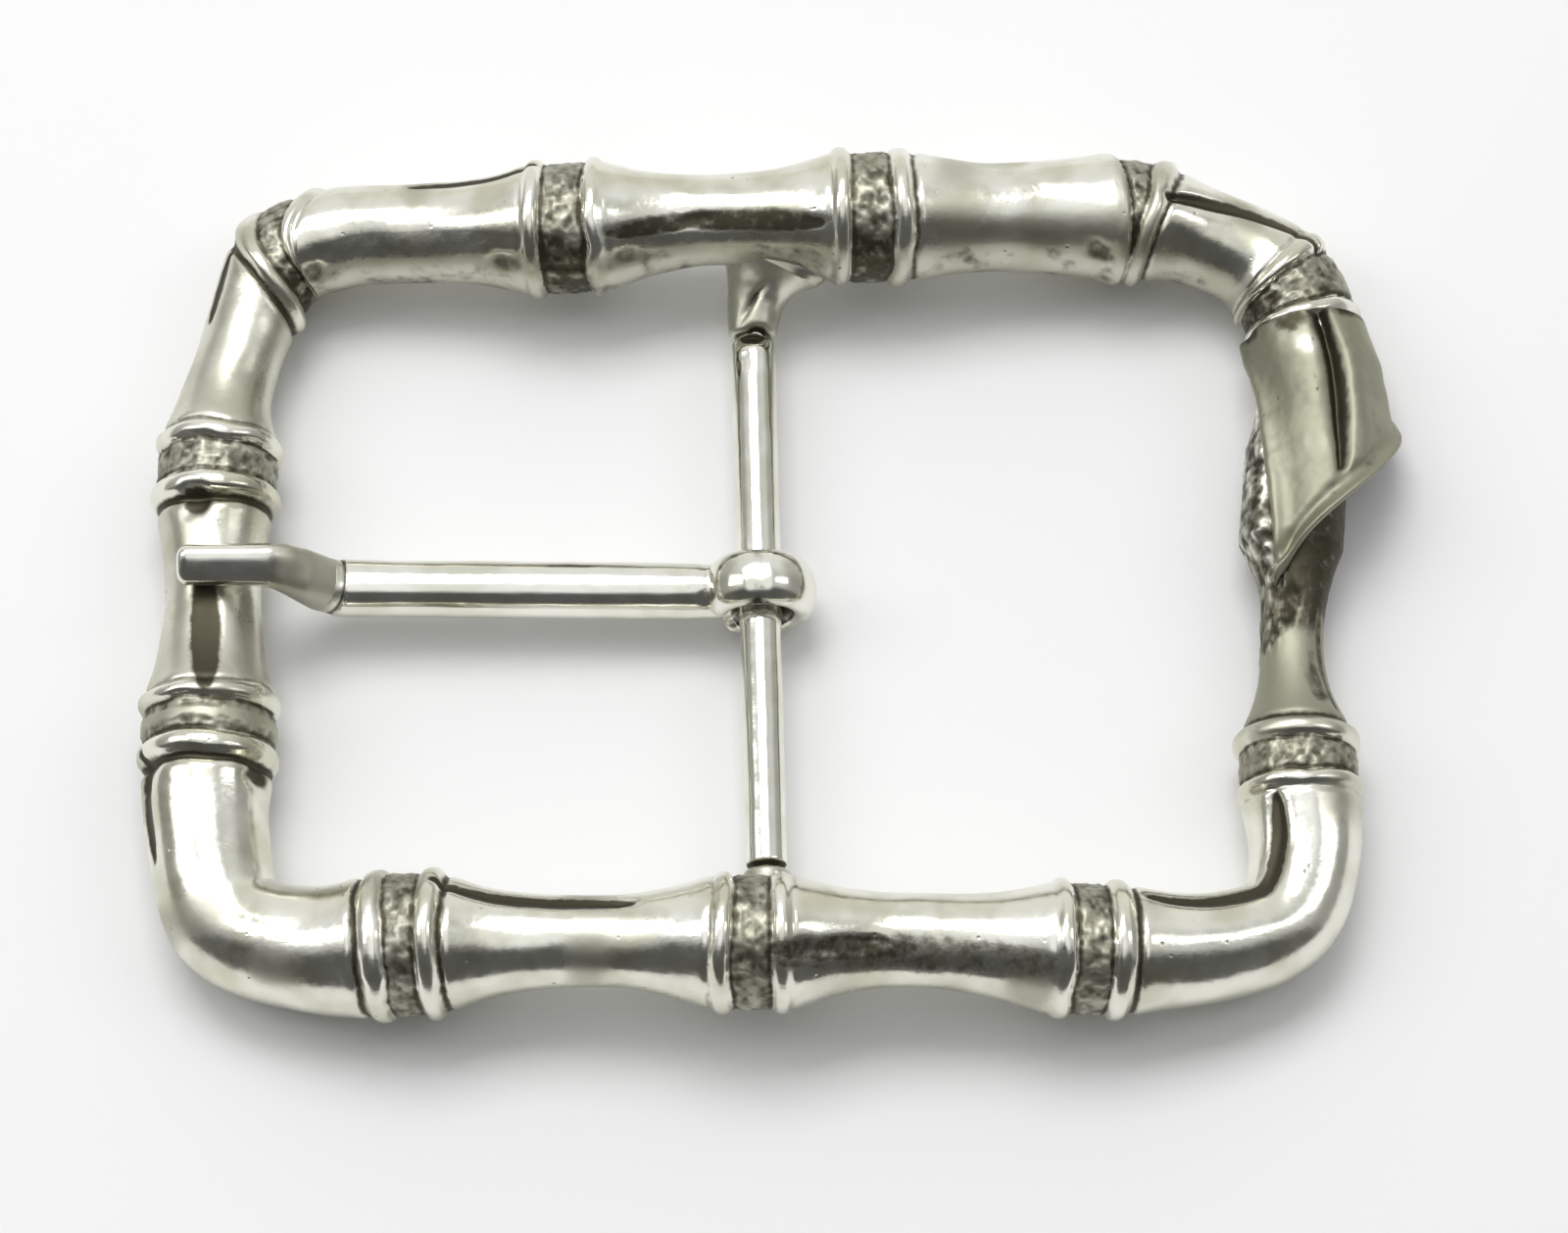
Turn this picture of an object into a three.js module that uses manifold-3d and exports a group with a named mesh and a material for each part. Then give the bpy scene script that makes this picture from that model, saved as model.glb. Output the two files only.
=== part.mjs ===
// Belt buckle for a 38 mm strap: a cast ring in the shape of bamboo cane, a centre bar and a prong.
// Millimetres. It lies face up on z = 0: +X along the belt, +Y across it, +Z out of the face.
import * as THREE from 'three';
import { mergeVertices } from 'three/addons/utils/BufferGeometryUtils.js';
import Module from 'manifold-3d';

// ---- driving dimensions -------------------------------------------------------------------
const REST_HEIGHT = 4.15;      // centre of the cane above the table at the two ends
const REST_SLOPE = -0.004;     // the left end sits a little higher than the right
const ARCH_RISE = 3.2;         // how far the belt curve lifts the middle of the long rails
const ARCH_HALF_SPAN = 35.4;

const CANE_SIDES = 16;
const ROUTE_STEPS = 40;        // steps to each span of the cane's route, for measuring along it
const RIM_WIDTH = 0.95;        // each raised rim beside a joint band
const BAND_DEPTH = 0.4;        // the band lies this far below its rims
const FLARE = 0.96;            // the cane ends at this share of the rim radius
const WAIST_POWER = 2.4;       // how suddenly the cane flares towards its joints

const BAR_SIDES = 24;
const BAR_RADIUS = 1.55;
const BAR_HEIGHT = 4.0;        // bar axis above the table
const BAR_LEAN = -0.026;       // x per y: the bar stands a degree and a half off square
const BAR_X = -1.1;            // bar axis where it crosses y = 0
const BAR_TOP = 18.5;          // shoulders of the bar, where it meets its two lugs
const BAR_BOTTOM = -20.6;
const TENON_RADIUS = 1.0;
const TENON_LENGTH = 2.4;
const GAP = 0.3;               // clearance between parts that touch
const CLEAN_UP = 0.02;         // details smaller than this are dropped after a join

const LUG_RADIUS = 1.68;       // lug where it meets the bar
const LUG_SIDES = 16;
// Each lug starts inside a rail at its root, and bends at its elbow.
const UPPER_LUG = { root: [0.6, 26.4, 6.4], elbow: [-1.7, 22.6, BAR_HEIGHT], radius: 3.1 };
const LOWER_LUG = { root: [-0.8, -26.6, 6.2], elbow: [-0.5, -24.2, BAR_HEIGHT], radius: 2.6 };
const TABLE_WIDTH = 200;       // the flat that the back is filed on
const TABLE_DEPTH = 20;

const PRONG_Y = -0.5;
const SHANK_RADIUS = 1.95;
const SHANK_SIDES = 16;
const EYE_THICKNESS = 2.0;
const EYE_WIDTH = 4.0;
const EYE_TAIL_ANGLE = -142;   // where the strip ends below the shank, round the bar from +X
const EYE_ROOT_ANGLE = 165;    // where it runs into the shank
const EYE_STEPS = 22;
const BORE_REACH = 6;          // half length of the cut that frees the eye from the bar
// Corners of the strip's section, across and through it, as shares of its half sizes.
const STRIP = [[1, -0.5], [1, 0.5], [0.75, 1], [-0.75, 1], [-1, 0.5], [-1, -0.5], [-0.75, -1], [0.75, -1]];
const TIP_HALF_WIDTH = 1.55;
const TIP_HALF_HEIGHT = 1.0;
const TIP_HEIGHT = 8.95;       // centre of the tip, which lies over the left rail

// The cane's route, clockwise from the upper left corner. A joint has the radius of its rims, half
// the width of its band, how far its plane leans out of square, and how much the band narrows
// towards the inside. Between two joints the cane thins to the waist given with the first.
const joint = (x, y, rim, half, waist, lean = 0, taper = 0) => (
  { x, y, joint: { rim, half, waist, lean, taper } });
const bend = (x, y) => ({ x, y });
const ROUTE = [
  joint(-35.2, 24.7, 3.9, 1.3, 3.45, 0.55),
  bend(-31.0, 26.1),
  bend(-25.0, 26.2),
  joint(-14.7, 26.1, 4.9, 1.6, 3.2),
  bend(-3.9, 26.5),
  joint(6.6, 26.8, 4.9, 1.5, 3.9),
  bend(16.6, 27.1),
  joint(25.0, 27.3, 4.6, 0.75, 3.5, 0, 0.9),
  bend(30.2, 26.4),
  bend(34.4, 24.6),
  joint(36.8, 21.4, 4.25, 1.5, 3.6, -0.1),
  bend(37.5, 16.3),
  joint(36.6, 6.3, 4.1, 2.6, 2.15),
  bend(35.7, -3.7),
  joint(35.6, -13.6, 4.35, 1.3, 3.55),
  bend(35.7, -20.0),
  bend(34.2, -24.4),
  bend(29.9, -26.5),
  joint(20.7, -27.1, 4.7, 1.3, 3.2),
  bend(9.4, -26.8),
  joint(-1.5, -27.0, 4.8, 1.4, 3.1),
  bend(-12.4, -26.8),
  joint(-24.4, -26.7, 5.1, 1.4, 4.0),
  bend(-31.0, -26.7),
  bend(-36.5, -24.6),
  bend(-38.4, -18.2),
  joint(-38.6, -11.1, 4.85, 1.3, 3.3),
  bend(-38.8, -1.9),
  joint(-38.9, 8.1, 4.5, 1.3, 2.95),
  bend(-38.1, 15.8),
];

const CORNER_JOINT = 4;        // the joint on the route that the leaf sheath grows from
const WAIST_JOINT = 6;         // the second joint below it

// The leaf sheath on the right rail, by angle round the cane: 0 outwards, 90 up, 180 inwards.
const SHEATH_ROOT_Y = 18.9;    // its collar, just below the corner joint
const SHEATH_TIP_Y = -1.2;     // the point of the leaf
const SHEATH_SLOPE = 0.102;    // its free edge climbs by this much for each degree
const SHEATH_ROOT_ANGLES = [195, -60];
const SHEATH_EDGE_ANGLES = [125, -50];
const SHEATH_ROOT_RADIUS = 4.75;
const SHEATH_TIP_RADIUS = 3.0;
const SHEATH_WING_RADIUS = 6.3; // the wing that stands out from the rail
const SHEATH_CORE = 1.4;       // radius of the sheath's root, inside the cane
const SHEATH_ROWS = 10;
const SHEATH_COLUMNS = 12;

// ---- the solids library, and the way in and out of it -----------------------------------------
const wasm = await Module();
wasm.setup();

function toSolid(geometry) {
  const bare = geometry.clone();
  bare.deleteAttribute('normal');
  bare.deleteAttribute('uv');
  const merged = mergeVertices(bare, 1e-4);
  return new wasm.Manifold(new wasm.Mesh({
    numProp: 3,
    vertProperties: new Float32Array(merged.attributes.position.array),
    triVerts: new Uint32Array(merged.index.array),
  }));
}

function toGeometry(solid) {
  const mesh = solid.getMesh();
  const geometry = new THREE.BufferGeometry();
  geometry.setAttribute('position', new THREE.BufferAttribute(mesh.vertProperties, 3));
  geometry.setIndex(new THREE.BufferAttribute(mesh.triVerts, 1));
  geometry.computeVertexNormals();
  return geometry;
}

// A body through a row of sections, each an even array of points in the same order. A ring closes
// on itself. Any other body gets ends that join the first half of a section to its second half.
function loft(sections, isRing = false) {
  const sides = sections[0].length;
  const positions = sections.flat().flatMap((p) => [p.x, p.y, p.z]);
  const faces = [];
  const spans = isRing ? sections.length : sections.length - 1;
  for (let i = 0; i < spans; i += 1) {
    const near = i * sides;
    const far = ((i + 1) % sections.length) * sides;
    for (let k = 0; k < sides; k += 1) {
      const next = (k + 1) % sides;
      faces.push(near + k, near + next, far + k, near + next, far + next, far + k);
    }
  }
  if (!isRing) {
    const last = (sections.length - 1) * sides;
    for (let k = 0; k < sides / 2 - 1; k += 1) {
      const opposite = sides - 1 - k;
      faces.push(k, opposite - 1, k + 1, k, opposite, opposite - 1);
      faces.push(last + k, last + k + 1, last + opposite - 1);
      faces.push(last + k, last + opposite - 1, last + opposite);
    }
  }
  const geometry = new THREE.BufferGeometry();
  geometry.setAttribute('position', new THREE.Float32BufferAttribute(positions, 3));
  geometry.setIndex(faces);
  return geometry;
}

// An oval section about a centre. side x up is the direction of travel, so its body faces outwards.
function oval(centre, side, up, halfWidth, halfHeight, count) {
  return Array.from({ length: count }, (_, k) => {
    const angle = (2 * Math.PI * k) / count;
    return centre.clone()
      .addScaledVector(side, halfWidth * Math.cos(angle))
      .addScaledVector(up, halfHeight * Math.sin(angle));
  });
}

// ---- the cane ring ------------------------------------------------------------------------------
const UP = new THREE.Vector3(0, 0, 1);

function archHeight(x) {
  const share = Math.min(1, Math.abs(x) / ARCH_HALF_SPAN);
  return REST_HEIGHT + REST_SLOPE * x + ARCH_RISE * (1 - share * share);
}

const cane = new THREE.CatmullRomCurve3(
  ROUTE.map(({ x, y }) => new THREE.Vector3(x, y, archHeight(x))), true, 'centripetal');
const CANE_STEPS = ROUTE.length * ROUTE_STEPS;
cane.arcLengthDivisions = CANE_STEPS;
const caneLengths = cane.getLengths(CANE_STEPS);
const caneLength = caneLengths[CANE_STEPS];
const JOINTS = ROUTE.flatMap((point, i) => (
  point.joint ? [{ ...point.joint, s: caneLengths[i * ROUTE_STEPS] }] : []));

function caneFrame(s) {
  const u = THREE.MathUtils.euclideanModulo(s / caneLength, 1);
  const along = cane.getTangentAt(u);
  const out = new THREE.Vector3().crossVectors(along, UP).normalize();
  out.negate();
  const up = new THREE.Vector3().crossVectors(along, out).normalize();
  if (up.z < 0) up.negate();
  return { centre: cane.getPointAt(u), along, out, up };
}

// Signed distance along the ring from b to a, by the shorter way.
function alongRing(a, b) {
  return THREE.MathUtils.euclideanModulo(a - b + caneLength / 2, caneLength) - caneLength / 2;
}

// Radius of the cane at a distance along the ring and an angle round it.
function caneRadius(s, angle) {
  const outward = Math.cos(angle);
  for (const { s: at, rim, half, lean, taper } of JOINTS) {
    const off = Math.abs(alongRing(s, at + lean * rim * outward));
    const band = half * (1 + taper * outward);
    if (off < band - 0.05) return rim - BAND_DEPTH;
    if (off < band + RIM_WIDTH) return rim;
  }
  const here = THREE.MathUtils.euclideanModulo(s, caneLength);
  let i = JOINTS.length - 1;
  while (i > 0 && JOINTS[i].s > here) i -= 1;
  const a = JOINTS[i];
  const b = JOINTS[(i + 1) % JOINTS.length];
  const start = a.s + a.lean * a.rim * outward + a.half * (1 + a.taper * outward) + RIM_WIDTH;
  const gap = THREE.MathUtils.euclideanModulo(b.s - a.s, caneLength);
  const end = a.s + gap + b.lean * b.rim * outward - b.half * (1 + b.taper * outward) - RIM_WIDTH;
  const u = THREE.MathUtils.clamp((2 * (here - start)) / (end - start) - 1, -1, 1);
  const rim = u < 0 ? a.rim : b.rim;
  return a.waist + (rim * FLARE - a.waist) * Math.abs(u) ** WAIST_POWER;
}

// Sections fall where the radius changes: close together at a joint, wider along the cane.
function caneStations() {
  const stations = [];
  JOINTS.forEach((a, i) => {
    const b = JOINTS[(i + 1) % JOINTS.length];
    const edge = a.half + RIM_WIDTH;
    for (const offset of [-edge, -a.half - 0.3, -a.half + 0.25, a.half - 0.25, a.half + 0.3, edge]) {
      stations.push(a.s + offset);
    }
    const gap = THREE.MathUtils.euclideanModulo(b.s - a.s, caneLength);
    const from = edge + 0.15;
    const to = gap - b.half - RIM_WIDTH - 0.15;
    const steps = Math.max(3, Math.round((to - from) / 1.9));
    for (let k = 0; k <= steps; k += 1) stations.push(a.s + from + ((to - from) * k) / steps);
  });
  return stations;
}

function caneRing() {
  return loft(caneStations().map((s) => {
    const { centre, out, up } = caneFrame(s);
    return Array.from({ length: CANE_SIDES }, (_, k) => {
      const angle = (2 * Math.PI * k) / CANE_SIDES;
      const radius = caneRadius(s, angle);
      return centre.clone()
        .addScaledVector(out, radius * Math.cos(angle))
        .addScaledVector(up, radius * Math.sin(angle));
    });
  }), true);
}

// ---- the leaf sheath ----------------------------------------------------------------------------
// Distance along the ring of a point on the right rail, from its y.
function railStation(y) {
  let low = JOINTS[CORNER_JOINT].s;
  let high = JOINTS[WAIST_JOINT].s;
  for (let i = 0; i < 30; i += 1) {
    const middle = (low + high) / 2;
    if (caneFrame(middle).centre.y > y) low = middle;
    else high = middle;
  }
  return low;
}

// across: 0 at the inner border, 1 at the outer. along: 0 at the collar, 1 at the free edge.
function sheathPoint(across, along, isCore) {
  const rootAngle = THREE.MathUtils.lerp(...SHEATH_ROOT_ANGLES, across);
  const edgeAngle = THREE.MathUtils.lerp(...SHEATH_EDGE_ANGLES, across);
  const edgeY = SHEATH_TIP_Y + SHEATH_SLOPE * (SHEATH_EDGE_ANGLES[0] - edgeAngle);
  const angle = edgeAngle + (rootAngle - edgeAngle) * (1 - along) ** 2;
  const turned = edgeAngle / SHEATH_EDGE_ANGLES[0];
  const wing = Math.cos(Math.min(1, Math.abs(turned)) * Math.PI / 2) ** 1.5;
  const edgeRadius = THREE.MathUtils.lerp(SHEATH_TIP_RADIUS, SHEATH_WING_RADIUS, wing);
  const radius = THREE.MathUtils.lerp(SHEATH_ROOT_RADIUS, edgeRadius, along ** 1.5);
  const { centre, out, up } = caneFrame(railStation(
    THREE.MathUtils.lerp(SHEATH_ROOT_Y, edgeY, along)));
  const reach = isCore ? SHEATH_CORE : radius;
  const turn = THREE.MathUtils.degToRad(angle);
  return centre.clone()
    .addScaledVector(out, reach * Math.cos(turn))
    .addScaledVector(up, reach * Math.sin(turn));
}

// Each section crosses the leaf over its face, and comes back through the cane below it.
function leafSheath() {
  const sections = [];
  for (let i = 0; i <= SHEATH_ROWS; i += 1) {
    const face = [];
    const core = [];
    for (let k = 0; k <= SHEATH_COLUMNS; k += 1) {
      face.unshift(sheathPoint(k / SHEATH_COLUMNS, i / SHEATH_ROWS, false));
      core.push(sheathPoint(k / SHEATH_COLUMNS, i / SHEATH_ROWS, true));
    }
    sections.push([...face, ...core]);
  }
  return loft(sections);
}

// ---- the bar and its lugs -----------------------------------------------------------------------
const barPoint = (y) => new THREE.Vector3(BAR_X + BAR_LEAN * y, y, BAR_HEIGHT);
const BAR_ALONG = new THREE.Vector3(BAR_LEAN, 1, 0).normalize();

// A round bar along the bar axis from one y to another.
function barCylinder(from, to, radius) {
  const geometry = new THREE.CylinderGeometry(radius, radius, to - from, BAR_SIDES);
  geometry.rotateZ(-Math.atan(BAR_LEAN));
  const middle = barPoint((from + to) / 2);
  return geometry.translate(middle.x, middle.y, middle.z);
}

// A horn that grows out of a rail and bends down to meet the end of the bar.
function lug({ root, elbow, radius: rootRadius }, endY) {
  const route = new THREE.QuadraticBezierCurve3(
    new THREE.Vector3(...root), new THREE.Vector3(...elbow), barPoint(endY));
  const steps = 8;
  return loft(Array.from({ length: steps + 1 }, (_, i) => {
    const along = route.getTangent(i / steps);
    const side = new THREE.Vector3().crossVectors(UP, along).normalize();
    const up = new THREE.Vector3().crossVectors(along, side);
    const radius = THREE.MathUtils.lerp(rootRadius, LUG_RADIUS, Math.sqrt(i / steps));
    return oval(route.getPoint(i / steps), side, up, radius, radius, LUG_SIDES);
  }));
}

function centreBar() {
  const body = toSolid(barCylinder(BAR_BOTTOM, BAR_TOP, BAR_RADIUS));
  const tenons = toSolid(barCylinder(
    BAR_BOTTOM - TENON_LENGTH, BAR_TOP + TENON_LENGTH, TENON_RADIUS));
  return toGeometry(body.add(tenons));
}

function frameCasting() {
  const depth = TENON_LENGTH + 2 * GAP;
  const upperHole = barCylinder(BAR_TOP, BAR_TOP + depth, TENON_RADIUS + GAP);
  const lowerHole = barCylinder(BAR_BOTTOM - depth, BAR_BOTTOM, TENON_RADIUS + GAP);
  const table = new THREE.BoxGeometry(TABLE_WIDTH, TABLE_WIDTH, TABLE_DEPTH);
  table.translate(0, 0, -TABLE_DEPTH / 2);
  const casting = toSolid(caneRing())
    .add(toSolid(leafSheath()))
    .add(toSolid(lug(UPPER_LUG, BAR_TOP + GAP)))
    .add(toSolid(lug(LOWER_LUG, BAR_BOTTOM - GAP)))
    .subtract(toSolid(upperHole))
    .subtract(toSolid(lowerHole))
    .subtract(toSolid(table));
  return toGeometry(casting.simplify(CLEAN_UP));
}

// ---- the prong ------------------------------------------------------------------------------------
// An open eye bent round the bar: a strip from under the shank round the bar and up to the shank.
function prongEye() {
  const middle = BAR_RADIUS + GAP + EYE_THICKNESS / 2;
  const centre = barPoint(PRONG_Y);
  const side = BAR_ALONG.clone().negate();
  const right = new THREE.Vector3().crossVectors(BAR_ALONG, UP);
  return loft(Array.from({ length: EYE_STEPS + 1 }, (_, i) => {
    const turn = THREE.MathUtils.degToRad(
      THREE.MathUtils.lerp(EYE_TAIL_ANGLE, EYE_ROOT_ANGLE, i / EYE_STEPS));
    const radial = right.clone().multiplyScalar(Math.cos(turn)).addScaledVector(UP, Math.sin(turn));
    const at = centre.clone().addScaledVector(radial, middle);
    return STRIP.map(([across, through]) => at.clone()
      .addScaledVector(side, across * EYE_WIDTH / 2)
      .addScaledVector(radial, through * EYE_THICKNESS / 2));
  }));
}

// Stations of the shank from the eye to the tip: x, height, half width and half height.
const SHANK = [
  [-3.0, 4.1, 1.75, 1.6],
  [-4.6, 4.1, 1.95, 1.85],
  [-7.0, 4.15, SHANK_RADIUS, SHANK_RADIUS],
  [-19.0, 4.4, SHANK_RADIUS, SHANK_RADIUS],
  [-29.6, 4.65, SHANK_RADIUS, SHANK_RADIUS],
  [-30.9, 5.2, 1.9, 1.8],
  [-32.6, 7.5, 1.75, 1.5],
  [-34.0, 8.65, 1.6, 1.15],
  [-35.6, TIP_HEIGHT, TIP_HALF_WIDTH, TIP_HALF_HEIGHT],
  [-40.2, TIP_HEIGHT, TIP_HALF_WIDTH, TIP_HALF_HEIGHT],
  [-40.8, TIP_HEIGHT, TIP_HALF_WIDTH - 0.35, TIP_HALF_HEIGHT - 0.35],
];

function prongShank() {
  const centres = SHANK.map(([x, height]) => new THREE.Vector3(x, PRONG_Y, height));
  return loft(SHANK.map(([, , halfWidth, halfHeight], i) => {
    const before = centres[Math.max(0, i - 1)];
    const after = centres[Math.min(SHANK.length - 1, i + 1)];
    const along = after.clone().sub(before).normalize();
    const side = new THREE.Vector3().crossVectors(UP, along).normalize();
    const up = new THREE.Vector3().crossVectors(along, side);
    return oval(centres[i], side, up, halfWidth, halfHeight, SHANK_SIDES);
  }));
}

function prong() {
  const bore = barCylinder(PRONG_Y - BORE_REACH, PRONG_Y + BORE_REACH, BAR_RADIUS + GAP);
  return toGeometry(toSolid(prongEye()).add(toSolid(prongShank())).subtract(toSolid(bore)));
}

// ---- the finished buckle ----------------------------------------------------------------------------
const castSilver = new THREE.MeshStandardMaterial({ color: 0xc9c7bd, roughness: 0.25, metalness: 1 });
const drawnSilver = new THREE.MeshStandardMaterial({ color: 0xd2d0c6, roughness: 0.18, metalness: 1 });

function piece(name, geometry, material) {
  const mesh = new THREE.Mesh(geometry, material.clone());
  mesh.name = name;
  return mesh;
}

const buckle = new THREE.Group();
buckle.add(
  piece('frame_casting', frameCasting(), castSilver),
  piece('centre_bar', centreBar(), drawnSilver),
  piece('prong', prong(), drawnSilver),
);

export default buckle;
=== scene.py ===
"""Looks of the bamboo-cane belt buckle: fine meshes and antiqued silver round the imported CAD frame."""
import math

import bpy
import numpy as np
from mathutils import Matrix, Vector


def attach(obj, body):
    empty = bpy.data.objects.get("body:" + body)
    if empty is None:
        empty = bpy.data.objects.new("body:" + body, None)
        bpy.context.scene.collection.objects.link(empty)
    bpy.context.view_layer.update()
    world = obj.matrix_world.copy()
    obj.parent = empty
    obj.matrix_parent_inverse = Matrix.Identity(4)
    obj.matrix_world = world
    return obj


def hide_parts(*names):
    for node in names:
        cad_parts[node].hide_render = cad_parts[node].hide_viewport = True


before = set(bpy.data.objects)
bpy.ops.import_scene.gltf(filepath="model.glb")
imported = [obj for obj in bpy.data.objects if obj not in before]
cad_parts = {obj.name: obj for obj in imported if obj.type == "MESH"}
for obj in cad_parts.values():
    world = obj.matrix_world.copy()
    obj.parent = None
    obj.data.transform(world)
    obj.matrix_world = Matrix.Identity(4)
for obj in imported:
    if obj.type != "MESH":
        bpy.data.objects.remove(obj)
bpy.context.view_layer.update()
MM = 0.001

# ---- dimensions shared with the CAD source, in millimetres ---------------------------------------
REST_HEIGHT = 4.15
REST_SLOPE = -0.004
ARCH_RISE = 3.2
ARCH_HALF_SPAN = 35.4
RIM_WIDTH = 0.95
BAND_DEPTH = 0.4
BAR_RADIUS = 1.55
BAR_HEIGHT = 4.0
BAR_LEAN = -0.026
BAR_X = -1.1
BAR_TOP = 18.5
BAR_BOTTOM = -20.6
GAP = 0.3
PRONG_Y = -0.5
TIP_HEIGHT = 8.95
UP = np.array([0.0, 0.0, 1.0])


def joint(x, y, rim, half, waist, lean=0.0, taper=0.0, creases=(0.0, 0.0), ridge=0.0):
    """A cane joint: rim radius, half band width, waist after it, lean, taper, the depths of the creases
    before and after its rims, and the height of a ridge round its band. A rim with no crease runs
    smoothly into the cane."""
    return {"x": x, "y": y, "rim": rim, "half": half, "waist": waist,
            "lean": lean, "taper": taper, "creases": creases, "ridge": ridge}


def bend(x, y):
    """A point where the cane bends between two joints."""
    return {"x": x, "y": y, "rim": None}


ROUTE = [
    joint(-35.2, 24.7, 3.9, 1.2, 3.45, 0.55, 0.0, (0.30, 0.12)),
    bend(-31.0, 26.1),
    bend(-25.0, 26.2),
    joint(-14.7, 26.1, 4.9, 1.6, 3.2, 0.0, 0.0, (0.06, 0.06)),
    bend(-3.9, 26.5),
    joint(6.6, 26.8, 4.9, 1.5, 3.9, 0.0, 0.0, (0.06, 0.22)),
    bend(16.6, 27.1),
    joint(25.0, 27.3, 4.6, 0.75, 3.5, 0.0, 0.9, (0.0, 0.22)),
    bend(30.2, 26.4),
    bend(34.4, 24.6),
    joint(36.8, 21.4, 4.25, 1.5, 3.6, -0.1, 0.0, (0.14, 0.10)),
    bend(37.5, 16.3),
    joint(36.6, 6.3, 4.1, 2.6, 2.15),
    bend(35.7, -3.7),
    joint(35.6, -13.6, 4.35, 1.2, 3.55, 0.0, 0.0, (0.24, 0.12)),
    bend(35.7, -20.0),
    bend(34.2, -24.4),
    bend(29.9, -26.5),
    joint(20.7, -27.1, 4.7, 1.3, 3.2, 0.0, 0.0, (0.26, 0.06)),
    bend(9.4, -26.8),
    joint(-1.5, -27.0, 4.8, 1.4, 3.1, 0.0, 0.0, (0.10, 0.14)),
    bend(-12.4, -26.8),
    joint(-24.4, -26.7, 5.1, 1.2, 4.0, 0.0, 0.0, (0.24, 0.26)),
    bend(-31.0, -26.7),
    bend(-36.5, -24.6),
    bend(-38.4, -18.2),
    joint(-38.6, -11.1, 4.85, 1.3, 3.3, 0.0, 0.0, (0.32, 0.16), 0.3),
    bend(-38.8, -1.9),
    joint(-38.9, 8.1, 4.5, 1.3, 2.95, 0.0, 0.0, (0.32, 0.18)),
    bend(-38.1, 15.8),
]
CORNER_JOINT = 4        # the joint that the leaf sheath grows from
HIDDEN_JOINT = 5        # the swelling under the leaf


# ---- small tools ---------------------------------------------------------------------------------
def smoothstep(low, high, value):
    t = np.clip((value - low) / (high - low), 0.0, 1.0)
    return t * t * (3.0 - 2.0 * t)


def lerp(a, b, t):
    return a + (b - a) * t


def lattice(cells, seed):
    """A repeatable number from -1 to 1 for each whole-number cell."""
    x, y, z = (cells[..., k].astype(np.int64) for k in range(3))
    h = x * 73856093 ^ y * 19349663 ^ z * 83492791 ^ (seed * 2654435761)
    h = (h ^ (h >> 13)) * 1274126177
    return ((h ^ (h >> 16)) & 0xFFFF) / 32767.5 - 1.0


def noise(points, size, seed=0):
    """Smooth noise from -1 to 1, with lumps about as large as size."""
    p = np.asarray(points) / size
    base = np.floor(p)
    f = p - base
    f = f * f * (3.0 - 2.0 * f)
    total = 0.0
    for dx in (0, 1):
        for dy in (0, 1):
            for dz in (0, 1):
                weight = (np.where(dx, f[..., 0], 1 - f[..., 0])
                          * np.where(dy, f[..., 1], 1 - f[..., 1])
                          * np.where(dz, f[..., 2], 1 - f[..., 2]))
                total = total + weight * lattice(base + np.array([dx, dy, dz]), seed)
    return total


def layered(points, *layers):
    """A sum of noises, each given as (height, lump size, seed)."""
    return sum(height * noise(points, size, seed) for height, size, seed in layers)


def bump(value, middle, width):
    """A smooth hump, 1 at its middle and near 0 at twice its width away."""
    return np.exp(-((value - middle) / width) ** 2)


def turn_from(angle, middle):
    """The signed way round from one angle to another, in radians."""
    return np.mod(angle - middle + np.pi, 2 * np.pi) - np.pi


def grid_mesh(name, points, closed_rows=False, closed_columns=False, marks=None, caps=False):
    """A smooth mesh through points[row, column, xyz], in mm, with named numbers on its vertices."""
    rows, columns = points.shape[:2]
    index = np.arange(rows * columns).reshape(rows, columns)
    a = index if closed_rows else index[:-1]
    b = np.roll(index, -1, axis=0) if closed_rows else index[1:]
    if closed_columns:
        a2, b2 = np.roll(a, -1, axis=1), np.roll(b, -1, axis=1)
    else:
        a, a2, b, b2 = a[:, :-1], a[:, 1:], b[:, :-1], b[:, 1:]
    faces = np.stack([a, a2, b2, b], axis=-1).reshape(-1, 4).tolist()
    vertices = points.reshape(-1, 3)
    if caps:
        # an end is closed by a strip that joins the first half of its section to the second half
        k = np.arange(columns // 2 - 1)
        strip = np.stack([k, columns - 1 - k, columns - 2 - k, k + 1], -1)
        faces += index[0][strip].tolist() + index[-1][strip[:, ::-1]].tolist()
    mesh = bpy.data.meshes.new(name)
    mesh.from_pydata((vertices * MM).tolist(), [], faces)
    for key, values in (marks or {}).items():
        layer = mesh.attributes.new(key, "FLOAT", "POINT")
        layer.data.foreach_set("value", np.asarray(values, np.float32).reshape(-1))
    mesh.polygons.foreach_set("use_smooth", np.ones(len(mesh.polygons), bool))
    mesh.update()
    obj = bpy.data.objects.new(name, mesh)
    bpy.context.scene.collection.objects.link(obj)
    return obj


# ---- the cane's centre line ----------------------------------------------------------------------
def arch_height(x):
    """Height of the cane's centre line, which arches between the side rails."""
    share = np.minimum(1.0, np.abs(x) / ARCH_HALF_SPAN)
    return REST_HEIGHT + REST_SLOPE * x + ARCH_RISE * (1.0 - share * share)


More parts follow.
